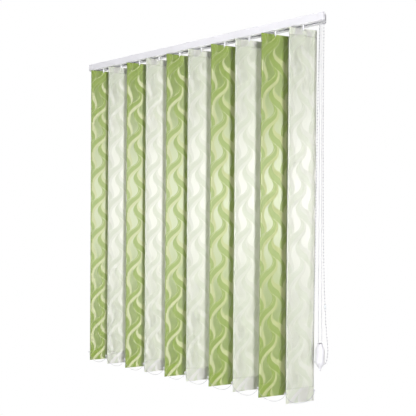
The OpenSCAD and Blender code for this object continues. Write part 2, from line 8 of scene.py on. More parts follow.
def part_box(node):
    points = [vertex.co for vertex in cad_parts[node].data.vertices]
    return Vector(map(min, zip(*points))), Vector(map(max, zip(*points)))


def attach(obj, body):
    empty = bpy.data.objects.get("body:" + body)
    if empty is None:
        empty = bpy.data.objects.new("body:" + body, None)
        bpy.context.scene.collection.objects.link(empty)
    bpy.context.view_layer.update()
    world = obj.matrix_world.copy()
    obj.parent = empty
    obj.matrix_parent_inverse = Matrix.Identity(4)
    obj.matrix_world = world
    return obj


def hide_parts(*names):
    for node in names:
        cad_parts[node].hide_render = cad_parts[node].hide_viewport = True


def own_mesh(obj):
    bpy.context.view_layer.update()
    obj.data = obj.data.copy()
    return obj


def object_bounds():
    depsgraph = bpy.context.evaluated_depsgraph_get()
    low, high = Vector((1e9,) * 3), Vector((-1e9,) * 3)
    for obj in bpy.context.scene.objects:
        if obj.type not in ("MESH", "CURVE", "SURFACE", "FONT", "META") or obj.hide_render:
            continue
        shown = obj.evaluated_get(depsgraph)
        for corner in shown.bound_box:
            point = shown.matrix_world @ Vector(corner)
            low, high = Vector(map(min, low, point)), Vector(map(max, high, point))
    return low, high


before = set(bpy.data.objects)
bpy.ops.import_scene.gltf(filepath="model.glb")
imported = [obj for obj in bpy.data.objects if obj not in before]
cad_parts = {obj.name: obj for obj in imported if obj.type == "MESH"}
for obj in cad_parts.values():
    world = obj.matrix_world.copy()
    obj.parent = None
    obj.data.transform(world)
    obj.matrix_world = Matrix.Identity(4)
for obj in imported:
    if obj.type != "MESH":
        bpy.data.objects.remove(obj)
cad_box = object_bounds()
scene = bpy.context.scene

# Sizes in metres, as in the part
VANES = 10
PITCH = 0.117
ANGLE = math.radians(43)
VANE_W = 0.127
RAIL_WALL = 0.0014
CORD_WEIGHT_H = 0.109
WEIGHT_Y = 0.0003
EYE_OUT = 0.0034
EYE_H = 0.042

# Places from the parts in model.glb
VANE_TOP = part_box("slat_1")[1][2]
VANE_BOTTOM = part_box("slat_1")[0][2]
RAIL_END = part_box("headrail")[1][0]
RAIL_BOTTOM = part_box("headrail")[0][2]
CORD_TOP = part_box("cord_weight")[1][2]
FLOOR_Z = RAIL_BOTTOM + RAIL_WALL
LOOP_Z = CORD_TOP - 0.75 * CORD_WEIGHT_H
EYE_X = VANE_W / 2 + EYE_OUT
EYE_Z = VANE_BOTTOM + EYE_H


def vane_frame(i):
    """Local frame of vane i: x across the vane, -y to the room side."""
    return Matrix.Translation(((i - (VANES + 1) / 2) * PITCH, 0, 0)) @ Matrix.Rotation(ANGLE, 4, "Z")


def add_object(name, mesh):
    obj = bpy.data.objects.new(name, mesh)
    scene.collection.objects.link(obj)
    return obj


# Camera at the photograph's viewpoint
SENSOR_MM = 36
IMAGE_PIXELS = 416
FOCAL_PIXELS = 400
CAMERA_SHIFT = (0.0298, 0.0341)
CAMERA_PLACE = (0.912, -1.657, VANE_TOP - 0.782)
CAMERA_YAW = math.radians(-27.91)
CAMERA_PITCH = math.radians(-0.48)
CAMERA_ROLL = math.radians(0.39)


def add_camera():
    data = bpy.data.cameras.new("camera")
    data.sensor_width = SENSOR_MM
    data.lens = SENSOR_MM * FOCAL_PIXELS / IMAGE_PIXELS
    data.shift_x, data.shift_y = CAMERA_SHIFT
    data.clip_start = 0.01
    camera = add_object("camera", data)
    level = math.cos(CAMERA_PITCH)
    ahead = Vector((math.sin(CAMERA_YAW) * level, math.cos(CAMERA_YAW) * level, math.sin(CAMERA_PITCH)))
    right = ahead.cross(Vector((0, 0, 1))).normalized()
    up = right.cross(ahead)
    right = math.cos(CAMERA_ROLL) * right + math.sin(CAMERA_ROLL) * up
    up = right.cross(ahead)
    turn = Matrix((right, up, -ahead)).transposed().to_4x4()
    camera.matrix_world = Matrix.Translation(CAMERA_PLACE) @ turn
    scene.camera = camera


add_camera()


# Node helpers
class Shader:
    """A node tree with short calls for the nodes that the materials use."""

    def __init__(self, tree):
        self.tree = tree

    def node(self, kind, **values):
        made = self.tree.nodes.new(kind)
        for key, value in values.items():
            setattr(made, key, value)
        return made

    def link(self, source, target):
        """Joins a socket to the target, or sets the target to a plain value."""
        if isinstance(source, bpy.types.NodeSocket):
            self.tree.links.new(source, target)
        else:
            target.default_value = source

    def math(self, operation, *inputs):
        made = self.node("ShaderNodeMath", operation=operation)
        for k, value in enumerate(inputs):
            self.link(value, made.inputs[k])
        return made.outputs[0]

    def ramp(self, value, low, high):
        """0 at low, 1 at high, eased and clamped between."""
        made = self.node("ShaderNodeMapRange", interpolation_type="SMOOTHSTEP")
        self.link(value, made.inputs["Value"])
        made.inputs["From Min"].default_value = low
        made.inputs["From Max"].default_value = high
        return made.outputs["Result"]

    def between(self, factor, low, high):
        """low where the factor is 0, high where it is 1."""
        return self.math("ADD", low, self.math("MULTIPLY", factor, high - low))

    def mix(self, factor, a, b):
        made = self.node("ShaderNodeMix", data_type="RGBA")
        self.link(factor, made.inputs[0])
        self.link(a, made.inputs[6])
        self.link(b, made.inputs[7])
        return made.outputs[2]

    def split(self, vector):
        """The first two parts of a vector."""
        made = self.node("ShaderNodeSeparateXYZ")
        self.link(vector, made.inputs[0])
        return made.outputs[0], made.outputs[1]

    def stretched(self, vector, scale):
        made = self.node("ShaderNodeMapping")
        made.inputs["Scale"].default_value = scale
        self.link(vector, made.inputs["Vector"])
        return made.outputs[0]

    def noise(self, vector, scale, detail):
        made = self.node("ShaderNodeTexNoise")
        self.link(vector, made.inputs["Vector"])
        made.inputs["Scale"].default_value = scale
        made.inputs["Detail"].default_value = detail
        return made.outputs["Fac"]

    def bump(self, height, strength, distance):
        made = self.node("ShaderNodeBump")
        made.inputs["Strength"].default_value = strength
        made.inputs["Distance"].default_value = distance
        self.link(height, made.inputs["Height"])
        return made.outputs["Normal"]


def linear(r, g, b):
    """sRGB in 0 to 255 as a linear colour."""
    def one(c):
        c /= 255
        return c / 12.92 if c <= 0.04045 else ((c + 0.055) / 1.055) ** 2.4
    return (one(r), one(g), one(b), 1)


def darker(colour, share):
    return tuple(c * share for c in colour[:3]) + (1,)


def new_material(name):
    material = bpy.data.materials.new(name)
    material.use_nodes = True
    shader = Shader(material.node_tree)
    return material, shader, material.node_tree.nodes["Principled BSDF"]


# Plastics, lacquer, metals and cord
GLOSS_SPREAD = 0.08
GRAIN_DEPTH = 0.0004
BRAID_STRANDS = 4
BRAID_LAY = 0.004


def plain_material(name, colour, roughness, metallic=0.0, grain=900.0, spread=0.04, bump=0.06,
                   stretch=(1, 1, 1), coat=0.0):
    """Moulded, painted or drawn surface: fine grain, uneven gloss and a little uneven colour."""
    material, s, bsdf = new_material(name)
    place = s.node("ShaderNodeTexCoord").outputs["Object"]
    fine = s.noise(s.stretched(place, stretch), grain, 4.0)
    broad = s.noise(place, 9.0, 2.0)
    s.link(s.mix(s.ramp(broad, 0.3, 0.7), darker(colour, 1 - 2 * spread), colour), bsdf.inputs["Base Color"])
    s.link(s.between(fine, roughness - GLOSS_SPREAD, roughness + GLOSS_SPREAD), bsdf.inputs["Roughness"])
    s.link(s.bump(fine, bump, GRAIN_DEPTH), bsdf.inputs["Normal"])
    bsdf.inputs["Metallic"].default_value = metallic
    bsdf.inputs["Coat Weight"].default_value = coat
    bsdf.inputs["Coat Roughness"].default_value = 0.25
    return material


def cord_material():
    """Braided cord: strands that cross at a slant round the cord."""
    material, s, bsdf = new_material("braided_cord")
    around, along = s.split(s.node("ShaderNodeUVMap", uv_map="along").outputs[0])
    turn = s.math("MULTIPLY", around, 2 * math.pi * BRAID_STRANDS)
    run = s.math("MULTIPLY", along, 2 * math.pi / BRAID_LAY)
    one = s.math("SINE", s.math("ADD", turn, run))
    other = s.math("SINE", s.math("SUBTRACT", turn, run))
    height = s.math("MULTIPLY", one, other)
    # painted shade: the hollows between the strands are coloured darker than their crowns
    shade = s.ramp(height, -0.9, 0.5)
    s.link(s.mix(shade, linear(170, 170, 174), linear(204, 203, 207)), bsdf.inputs["Base Color"])
    s.link(s.bump(height, 0.3, 0.0003), bsdf.inputs["Normal"])
    bsdf.inputs["Roughness"].default_value = 0.75
    bsdf.inputs["Sheen Weight"].default_value = 0.2
    return material


WHITE_PLASTIC = plain_material("white_plastic", linear(227, 226, 231), 0.42, grain=700, bump=0.05)
CHAIN_PLASTIC = plain_material("chain_plastic", linear(190, 190, 194), 0.3, grain=1500, bump=0.04, coat=0.3)
CLEAR_PLASTIC = plain_material("frosted_plastic", linear(222, 227, 230), 0.25, bump=0.03, coat=0.4)
RAIL_WHITE = plain_material("rail_lacquer", linear(227, 226, 231), 0.34, grain=260, spread=0.02, bump=0.03,
                            stretch=(0.15, 1, 1), coat=0.2)
SPRING_STEEL = plain_material("spring_steel", linear(190, 193, 198), 0.33, metallic=1.0, grain=500,
                              spread=0.1, stretch=(1, 0.1, 1))
ROD_ALUMINIUM = plain_material("rod_aluminium", linear(214, 216, 219), 0.3, metallic=1.0, spread=0.08,
                               stretch=(0.03, 1, 1))
BRAID = cord_material()

# Section of a vane: one strip, folded over the hanger at the top and round the weight at the bottom
FABRIC_T = 0.0005
FRONT_Y = -0.0011 + FABRIC_T / 2
POCKET_Y = 0.0011 - FABRIC_T / 2
HEM_Y = 0.0017 - FABRIC_T / 2
SEWN_Y = FRONT_Y + FABRIC_T
SEWN_H = 0.0015
POCKET_H = 0.032
HEM_H = 0.060
HOLE_DROP = 0.0065
HOLE_HALF = 0.0022
FOLD_STEPS = 6
DROP_STEPS = 96
# Where the strip's rows of points lie, below the top or above the bottom
POCKET_ROWS = (0.02, 0.014)
POCKET_EASE = 0.004
DROP_FROM = 0.03
DROP_TO = 0.006
HEM_ROWS = (0.01, 0.02, 0.035, 0.05)
HEM_EASE = 0.005


def fold_over(back_y, z, way):
    """Half a turn between the front and back_y: over the top where way is 1, under the bottom at -1."""
    middle = (back_y + FRONT_Y) / 2
    radius = way * (back_y - FRONT_Y) / 2
    turns = [math.pi * k / FOLD_STEPS for k in range(FOLD_STEPS + 1)]
    return [(middle + radius * math.cos(a), z + radius * math.sin(a)) for a in turns]


def strip_profile():
    """Points (y, z) of the strip's middle, from the pocket's lower end round to the hem's upper end."""
    top = VANE_TOP - FABRIC_T / 2 - (POCKET_Y - FRONT_Y) / 2
    bottom = VANE_BOTTOM + FABRIC_T / 2 + (HEM_Y - FRONT_Y) / 2
    pocket_end = VANE_TOP - POCKET_H
    hem_end = VANE_BOTTOM + HEM_H
    pocket = [VANE_TOP - drop for drop in POCKET_ROWS]
    pocket += [VANE_TOP - HOLE_DROP - HOLE_HALF, VANE_TOP - HOLE_DROP + HOLE_HALF]
    points = [(SEWN_Y, pocket_end), (SEWN_Y, pocket_end + SEWN_H), (POCKET_Y, pocket_end + POCKET_EASE)]
    points += [(POCKET_Y, z) for z in pocket]
    points += fold_over(POCKET_Y, top, 1)
    points += [(FRONT_Y, z) for z in reversed(pocket)]
    upper, lower = VANE_TOP - DROP_FROM, VANE_BOTTOM + DROP_TO
    points += [(FRONT_Y, upper + (lower - upper) * k / DROP_STEPS) for k in range(DROP_STEPS + 1)]
    points += fold_over(HEM_Y, bottom, -1)
    points += [(HEM_Y, VANE_BOTTOM + z) for z in (*HEM_ROWS, HEM_H - HEM_EASE)]
    points += [(SEWN_Y, hem_end - SEWN_H), (SEWN_Y, hem_end)]
    return points


PROFILE = strip_profile()
RUNS = [0.0]
for (y0, z0), (y1, z1) in zip(PROFILE, PROFILE[1:]):
    RUNS.append(RUNS[-1] + math.hypot(y1 - y0, z1 - z0))
STRIP_L = RUNS[-1]
CREST = max(range(len(PROFILE)), key=lambda k: PROFILE[k][1])
POCKET_RUN = RUNS[CREST]
TOP_SEAM = 0.030
HEM_SEAM = VANE_TOP - VANE_BOTTOM - HEM_H + SEWN_H

# Woven flame pattern, in millimetres: x from the vane's left edge, depth below its top fold.
# Each outline is a list of (mm below the tip, x of the left side, x of the right side).
PERIOD = 160.0
REPEAT = 100.0
BLADE_TIP = 59.0
BLADE = [(0, 57.5, 58), (12, 45.5, 49), (24, 32.5, 40.5), (37, 22, 36.5), (50, 16.7, 37.6),
         (64, 15.5, 42.5), (78, 17.5, 52.5), (92, 22.6, 59), (104, 26, 59.5), (116, 26.8, 55.3),
         (130, 25.2, 43), (139, 22, 29), (148, 11.8, 14.5), (159, 0, 1)]
BLADE_MIRROR = 119.5
BLADE_SHIFT = 82.5
RIBBON_TIP = 149.0
RIBBON = [(0, 74.5, 75.5), (12, 76, 82.5), (26, 75.5, 84.5), (41, 70, 82.5), (55, 58, 76), (68, 43, 64),
          (80, 30, 49), (95, 18, 34), (110, 10.5, 22.5), (124, 9.5, 19), (138, 11.5, 17), (146, 14, 14.2)]
CRESCENT = [(0, 74.5, 75.5), (12.5, 77, 83.5), (19.5, 75.8, 85.3), (29.5, 71, 85), (36.5, 63, 82.5),
            (41.5, 54, 80.3), (47, 44, 77.5), (52.5, 35, 72), (57, 30, 66.5), (62.5, 26.5, 59),
            (68, 23.5, 51), (80, 19, 44), (92, 15, 38), (107, 10.3, 26.5), (124, 8, 19), (142, 14, 18),
            (147, 16, 16.2)]
RIBBON_MIRROR = 139.0
RIBBON_SHIFT = 91.0
TENDRIL_TIP = 158.0
TENDRIL = [(0, 66.5, 67.5), (15, 60.5, 63.5), (30, 48, 51.5), (40, 33.5, 37.5), (46, 23.5, 27),
           (62, 9, 11.5), (80, 0, 1)]
TENDRIL_MIRROR = 107.5
TENDRIL_SHIFT = 50.0
THREAD = 0.8
OUTLINE_SOFT = 0.5
END_FADE = 0.64
# A pair is where a fade starts and where it is full, also in millimetres
FINE_LINE = (0.8, 1.8)
RIBBON_LINE_END = (140, 118)
CRESCENT_LINE_END = (62, 52)
SELVEDGE = (4.0, 1.5)
SEAM_HALF = (1.6, 0.5)
# Shader values: on the ground and on the satin, and of the yarn
SPECULAR_LEVELS = (0.38, 0.88)
ROUGHNESS_LEVELS = (0.82, 0.66)
YARN_STRETCH = (60, 9, 1)
YARN_TONES = (0.95, 1.05)


def outline_group(name, tip, outline):
    """A mask of one motif, repeated down the cloth: 1 inside its outline, or along it where fine is 1."""
    tree = bpy.data.node_groups.new(name, "ShaderNodeTree")
    for socket in ("x", "depth", "fine"):
        tree.interface.new_socket(socket, in_out="INPUT", socket_type="NodeSocketFloat")
    tree.interface.new_socket("mask", in_out="OUTPUT", socket_type="NodeSocketFloat")
    s = Shader(tree)
    x, depth, fine = s.node("NodeGroupInput").outputs[:3]
    result = s.node("NodeGroupOutput")
    below_tip = s.math("FRACT", s.math("DIVIDE", s.math("SUBTRACT", depth, tip), PERIOD))
    sides = []
    for side in (1, 2):
        curve = s.node("ShaderNodeFloatCurve")
        line = curve.mapping.curves[0]
        spots = [(row[0] / PERIOD, row[side] / REPEAT) for row in outline]
        line.points[0].location, line.points[1].location = spots[0], spots[-1]
        for spot in spots[1:-1]:
            line.points.new(*spot)
        curve.mapping.update()
        s.link(below_tip, curve.inputs["Value"])
        sides.append(s.math("MULTIPLY", curve.outputs[0], REPEAT))
    deep = s.math("MINIMUM", s.math("SUBTRACT", x, sides[0]), s.math("SUBTRACT", sides[1], x))
    core = s.math("MULTIPLY", s.ramp(deep, *FINE_LINE), fine)
    inside = s.math("SUBTRACT", s.ramp(deep, -OUTLINE_SOFT, OUTLINE_SOFT), core)
    end = outline[-1][0] / PERIOD
    s.link(s.math("MULTIPLY", inside, s.ramp(below_tip, end + END_FADE / PERIOD, end)), result.inputs[0])
    return tree


BLADE_GROUP = outline_group("blade", BLADE_TIP, BLADE)
RIBBON_GROUP = outline_group("ribbon", RIBBON_TIP, RIBBON)
CRESCENT_GROUP = outline_group("crescent", RIBBON_TIP, CRESCENT)
TENDRIL_GROUP = outline_group("tendril", TENDRIL_TIP, TENDRIL)


def motif_mask(s, group, x, depth, fine):
    """The motif and its neighbour to the right."""
    mask = 0.0
    for across in (x, s.math("SUBTRACT", x, REPEAT)):
        motif = s.node("ShaderNodeGroup", node_tree=group)
        for value, socket in zip((across, depth, fine), motif.inputs):
            s.link(value, socket)
        mask = s.math("MAXIMUM", mask, motif.outputs[0])
    return mask


def mirrored_pair(s, groups, x, depth, mirror, shift, fines=(0.0, 0.0)):
    """One motif, and the other mirrored across the cloth and shifted along it."""
    mirrored, shifted = s.math("SUBTRACT", mirror, x), s.math("ADD", depth, shift)
    other = motif_mask(s, groups[1], mirrored, shifted, fines[1])
    return s.math("MAXIMUM", motif_mask(s, groups[0], x, depth, fines[0]), other)


def fabric_material(name, satin, ribbon, ground, edge, ior, through, double_cloth_and_light):
    """Jacquard: upright satin threads in the blades, cross threads in the ribbons, a plain ground between."""
    material, s, bsdf = new_material(name)
    uv = s.node("ShaderNodeUVMap", uv_map="cloth").outputs[0]
    over_width, over_length = s.split(uv)
    x = s.math("MULTIPLY", over_width, VANE_W * 1000)
    depth = s.math("SUBTRACT", s.math("MULTIPLY", over_length, STRIP_L * 1000), POCKET_RUN * 1000)
    blade = mirrored_pair(s, (BLADE_GROUP, BLADE_GROUP), x, depth, BLADE_MIRROR, BLADE_SHIFT)
    # the first bands under the top are only lines
    fines = s.ramp(depth, *RIBBON_LINE_END), s.ramp(depth, *CRESCENT_LINE_END)
    bands = mirrored_pair(s, (RIBBON_GROUP, CRESCENT_GROUP), x, depth, RIBBON_MIRROR, RIBBON_SHIFT, fines)
    tendril = mirrored_pair(s, (TENDRIL_GROUP, TENDRIL_GROUP), x, depth, TENDRIL_MIRROR, TENDRIL_SHIFT)
    crossed = s.math("MAXIMUM", bands, tendril)
    shiny = s.math("MULTIPLY", blade, s.math("SUBTRACT", 1.0, crossed))

    colour = s.mix(blade, ground, satin)
    colour = s.mix(crossed, colour, ribbon)
    from_edge = s.math("MINIMUM", x, s.math("SUBTRACT", VANE_W * 1000, x))
    colour = s.mix(s.ramp(from_edge, *SELVEDGE), colour, edge)
    # seams of the hem and of the top pocket
    top_seam, hem_seam = TOP_SEAM * 1000, HEM_SEAM * 1000
    seams = [s.math("ABSOLUTE", s.math("SUBTRACT", depth, at)) for at in (top_seam, hem_seam)]
    seam = s.ramp(s.math("MINIMUM", *seams), *SEAM_HALF)
    colour = s.mix(s.math("MULTIPLY", seam, 0.35), colour, darker(satin, 0.55))
    # uneven yarn, drawn out along the threads; and the pocket's and hem's double cloth made lighter and more
    # saturated, partly for the thicker cloth and partly as painted light that stands in for the light shining
    # through the single cloth elsewhere
    slub = s.noise(s.stretched(uv, YARN_STRETCH), 3.0, 3.0)
    double = s.math("MAXIMUM", s.ramp(depth, top_seam + 1, top_seam - 1),
                    s.ramp(depth, hem_seam - 1, hem_seam + 1))
    tone = s.node("ShaderNodeHueSaturation")
    value = s.math("MULTIPLY", s.between(slub, *YARN_TONES), s.between(double, 1.0, 1.0 + double_cloth_and_light))
    s.link(value, tone.inputs["Value"])
    s.link(s.between(double, 1.0, 1.0 + 1.2 * double_cloth_and_light), tone.inputs["Saturation"])
    s.link(colour, tone.inputs["Color"])
    s.link(tone.outputs[0], bsdf.inputs["Base Color"])

    # thread relief
    upright = s.math("SINE", s.math("MULTIPLY", x, 2 * math.pi / THREAD))
    across = s.math("SINE", s.math("MULTIPLY", depth, 2 * math.pi / THREAD))
    weave = s.node("ShaderNodeMix", data_type="FLOAT")
    s.link(crossed, weave.inputs[0])
    s.link(upright, weave.inputs[2])
    s.link(across, weave.inputs[3])
    height = s.math("SUBTRACT", s.math("MULTIPLY", weave.outputs[0], 0.25), s.math("MULTIPLY", seam, 1.5))
    s.link(s.bump(height, 0.12, 0.0002), bsdf.inputs["Normal"])

    # satin: the upright threads spread the light across themselves
    s.link(s.between(shiny, *SPECULAR_LEVELS), bsdf.inputs["Specular IOR Level"])
    s.link(s.between(shiny, *ROUGHNESS_LEVELS), bsdf.inputs["Roughness"])
    s.link(s.math("MULTIPLY", crossed, 0.25), bsdf.inputs["Anisotropic Rotation"])
    tangent = s.node("ShaderNodeTangent", direction_type="UV_MAP", uv_map="cloth")
    s.link(tangent.outputs[0], bsdf.inputs["Tangent"])
    bsdf.inputs["Anisotropic"].default_value = 1.0
    bsdf.inputs["IOR"].default_value = ior
    bsdf.inputs["Specular Tint"].default_value = (1.0, 0.93, 1.0, 1.0)
    # thin cloth lets some of the light behind it through
    bsdf.inputs["Subsurface Weight"].default_value = through
    bsdf.inputs["Subsurface Radius"].default_value = (1.0, 1.0, 0.92)
    bsdf.inputs["Subsurface Scale"].default_value = 0.0025
    return material


GREEN = fabric_material("fabric_green", satin=linear(133, 159, 52), ribbon=linear(174, 182, 128),
                        ground=linear(131, 153, 64), edge=linear(128, 148, 72),
                        ior=3.0, through=0.25, double_cloth_and_light=0.05)
PALE = fabric_material("fabric_pale", satin=linear(199, 204, 188), ribbon=linear(199, 201, 191),
                       ground=linear(187, 192, 177), edge=linear(193, 197, 185),
                       ior=2.5, through=1.0, double_cloth_and_light=0.6)


# Tubes and beads
def arc(centre, radius, y, start, end, steps):
    """Points of an arc in a plane across y, from start to end in degrees."""
    turns = [math.radians(start + (end - start) * k / steps) for k in range(steps + 1)]
    return [Vector((centre[0] + radius * math.cos(a), y, centre[1] + radius * math.sin(a))) for a in turns]


def smooth(points, step):
    """A centripetal Catmull-Rom curve through the points."""
    ends = [2 * points[0] - points[1], *points, 2 * points[-1] - points[-2]]
    out = [points[0]]
    for p0, p1, p2, p3 in zip(ends, ends[1:], ends[2:], ends[3:]):
        t0 = 0.0
        t1 = t0 + (p1 - p0).length ** 0.5
        t2 = t1 + (p2 - p1).length ** 0.5
        t3 = t2 + (p3 - p2).length ** 0.5
        count = max(1, round((p2 - p1).length / step))
        for k in range(1, count + 1):
            t = t1 + (t2 - t1) * k / count
            a1 = (p0 * (t1 - t) + p1 * (t - t0)) / (t1 - t0)
            a2 = (p1 * (t2 - t) + p2 * (t - t1)) / (t2 - t1)
            a3 = (p2 * (t3 - t) + p3 * (t - t2)) / (t3 - t2)
            b1 = (a1 * (t2 - t) + a2 * (t - t0)) / (t2 - t0)
            b2 = (a2 * (t3 - t) + a3 * (t - t1)) / (t3 - t1)
            out.append((b1 * (t2 - t) + b2 * (t - t1)) / (t2 - t1))
    return out


def at_length(points, along):
    """The points at these lengths along a route, each with its heading."""
    found, run, k = [], 0.0, 0
    for goal in along:
        while k < len(points) - 2 and run + (points[k + 1] - points[k]).length < goal:
            run += (points[k + 1] - points[k]).length
            k += 1
        step = points[k + 1] - points[k]
        found.append((points[k] + step * ((goal - run) / step.length), step.normalized()))
    return found


def route_length(points):
    return sum((b - a).length for a, b in zip(points, points[1:]))


def add_tube(bm, points, radius_at, sides):
    """Sweeps a ring along the points, with its UVs round and along the tube."""
    uv = bm.loops.layers.uv.get("along") or bm.loops.layers.uv.new("along")
    side = Vector((0, 1, 0))
    rings, runs, run = [], [], 0.0
    for k, p in enumerate(points):
        ahead = (points[min(k + 1, len(points) - 1)] - points[max(k - 1, 0)]).normalized()
        side = (side - ahead * side.dot(ahead)).normalized()
        other = ahead.cross(side)
        if k:
            run += (p - points[k - 1]).length
        r = radius_at(run)
        turns = [2 * math.pi * a / sides for a in range(sides)]
        rings.append([bm.verts.new(p + r * (math.cos(a) * side + math.sin(a) * other)) for a in turns])
        runs.append(run)
    for k in range(len(rings) - 1):
        for a in range(sides):
            b = (a + 1) % sides
            face = bm.faces.new((rings[k][a], rings[k][b], rings[k + 1][b], rings[k + 1][a]))
            face.smooth = True
            spots = ((a, k), (a + 1, k), (a + 1, k + 1), (a, k + 1))
            for loop, (turn, ring) in zip(face.loops, spots):
                loop[uv].uv = (turn / sides, runs[ring])
    bm.faces.new(list(reversed(rings[0])))
    bm.faces.new(rings[-1])


def add_bead(bm, place, heading, radius):
    """A moulded bead with its poles on the string."""
    turn = Matrix.Translation(place) @ heading.to_track_quat("Z", "Y").to_matrix().to_4x4()
    made = bmesh.ops.create_uvsphere(bm, u_segments=12, v_segments=8, radius=radius, matrix=turn)
    for vert in made["verts"]:
        for face in vert.link_faces:
            face.smooth = True


def finish_mesh(bm, name, material):
    mesh = bpy.data.meshes.new(name)
    bm.to_mesh(mesh)
    bm.free()
    mesh.materials.append(material)
    return add_object(name, mesh)


# Bead chain, from the wheel down, through the cord weight and up again.
# Its strands are in millimetres from the rail's end, its middle and the loop's lowest point.
BEAD_D = 0.0045
BEAD_PITCH = 0.013
STRING_D = 0.0014
WHEEL = (RAIL_END + 0.013, FLOOR_Z + 0.0116)
WHEEL_Y = -0.002
WHEEL_BEADS = 4
WHEEL_R = WHEEL_BEADS * BEAD_PITCH / (2 * math.pi)
CHAIN_START_Z = RAIL_BOTTOM - 0.012
CHAIN_CLOSING = 0.005
CHAIN_LEFT = [(-1, -3, 900), (-3, -4, 560), (-6, -5, 250), (-13, -6, 60), (-11, -7, 28), (-6, -7, 9),
              (2, -7, 0)]
CHAIN_RIGHT = [(36, -7, 0), (43, -7, 10), (47, -7, 30), (49, -7, 58), (40, -6, 170), (31, -5, 370),
               (23, -3, 900)]


def bead_chain():
    left, right = WHEEL[0] - WHEEL_R, WHEEL[0] + WHEEL_R
    hang = [(RAIL_END + x / 1000, y / 1000, LOOP_Z + z / 1000) for x, y, z in CHAIN_LEFT + CHAIN_RIGHT]
    hang = [(left, WHEEL_Y, CHAIN_START_Z), *hang, (right, WHEEL_Y, CHAIN_START_Z)]
    route = arc(WHEEL, WHEEL_R, WHEEL_Y, 0, 180, 12) + smooth([Vector(p) for p in hang], 0.006)
    route.append(Vector((right, WHEEL_Y, WHEEL[1] - CHAIN_CLOSING)))
    length = route_length(route) + CHAIN_CLOSING
    count = round(length / BEAD_PITCH)
    bm = bmesh.new()
    add_tube(bm, route, lambda run: STRING_D / 2, 8)
    for spot, heading in at_length(route, [length * k / count for k in range(count)]):
        add_bead(bm, spot, heading, BEAD_D / 2)
    chain = finish_mesh(bm, "bead_chain_loop", CHAIN_PLASTIC)
    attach(chain, "rail")
    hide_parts("bead_chain", "chain_string")


# Draw cord, from the weight over the pulleys, along the rail and back
CORD_D = 0.002
CORD_Y = -0.0115
CORD_LOW_Z = FLOOR_Z + 0.0121
CORD_HIGH_Z = FLOOR_Z + 0.0221
GUIDE_R = 0.004
RETURN_R = 0.005
GUIDE_LOW = (RAIL_END + 0.0045, CORD_LOW_Z - GUIDE_R)
GUIDE_HIGH = (RAIL_END + 0.0115, CORD_HIGH_Z - GUIDE_R)
RETURN_AT = (-RAIL_END - 0.010, CORD_LOW_Z + RETURN_R)
CORD_WEIGHT_X = RAIL_END + 0.019
HANG_Y = -0.007
CORD_HOLE_X = 0.0065
CORD_DEPTH = 0.022
CORD_STEP = 0.02


def draw_cord():
    inside, above, apart = CORD_TOP - CORD_DEPTH, CORD_TOP + 0.02, CORD_TOP + 0.18
    under_rail = RAIL_BOTTOM - 0.04
    start = [(CORD_WEIGHT_X - CORD_HOLE_X, HANG_Y, inside), (CORD_WEIGHT_X - CORD_HOLE_X, HANG_Y, above),
             (CORD_WEIGHT_X - 0.0075, HANG_Y - 0.001, apart), (GUIDE_LOW[0] + GUIDE_R, CORD_Y, under_rail)]
    end = [(GUIDE_HIGH[0] + GUIDE_R, CORD_Y, under_rail), (CORD_WEIGHT_X + 0.0045, HANG_Y - 0.001, apart),
           (CORD_WEIGHT_X + CORD_HOLE_X, HANG_Y, above), (CORD_WEIGHT_X + CORD_HOLE_X, HANG_Y, inside)]
    over = arc(GUIDE_LOW, GUIDE_R, CORD_Y, 0, 90, 5)
    over += arc(RETURN_AT, RETURN_R, CORD_Y, 270, 90, 10)
    over += arc(GUIDE_HIGH, GUIDE_R, CORD_Y, 90, 0, 5)
    corners = [Vector(p) for p in start] + over + [Vector(p) for p in end]
    route = [corners[0]]
    for a, b in zip(corners, corners[1:]):
        count = max(1, round((b - a).length / CORD_STEP))
        route += [a.lerp(b, k / count) for k in range(1, count + 1)]
    bm = bmesh.new()
    add_tube(bm, route, lambda run: CORD_D / 2, 10)
    cord = finish_mesh(bm, "draw_cord_loop", BRAID)
    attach(cord, "rail")
    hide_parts("draw_cord")


# Link chains: a cord that swells at each link, with a ball in every eye.
# Their swags are in millimetres from an eye and stand clear of the hems, which turn as the vanes close.
LINK_PITCH = 0.006
LINK_THIN_R = 0.00066
LINK_SWELL = 0.00016
LINK_BALL_R = 0.0021
LINK_STEP = 0.003
SWAG_HALF = [(0, 0, 0), (0.6, 0, -3.2), (1, 0.1, -5.6), (2.7, 1.6, -9), (9, 3.4, -18), (30, 3.8, -34)]
SWAG_LOW = (58.5, 3.8, -40)
END_SWAG_HALF = [(1, -1.3, -3.4), (2, -2.6, -8), (8, -3.4, -19), (32, -3.6, -38)]
END_SWAG_LOW = (-3.6, -43)


def link_radius(run):
    return LINK_THIN_R + LINK_SWELL * abs(math.sin(math.pi * run / LINK_PITCH))


def link_chain(name, side):
    mirrored = [(2 * SWAG_LOW[0] - x, y, z) for x, y, z in reversed(SWAG_HALF)]
    route, eyes = [], []
    for i in range(1, VANES):
        eye = vane_frame(i) @ Vector((side * EYE_X, WEIGHT_Y, EYE_Z))
        swag = [eye + Vector((x, side * y, z)) / 1000 for x, y, z in SWAG_HALF + [SWAG_LOW] + mirrored]
        hang = smooth(swag, LINK_STEP)
        route += hang[1:] if route else hang
        eyes.append(hang[-1])
    eyes.insert(0, route[0])
    bm = bmesh.new()
    add_tube(bm, route, link_radius, 8)
    for eye in eyes:
        add_bead(bm, eye, Vector((1, 0, 0)), LINK_BALL_R)
    chain = finish_mesh(bm, name + "_links", CHAIN_PLASTIC)
    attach(chain, name)
    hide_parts(name)
    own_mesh(chain)


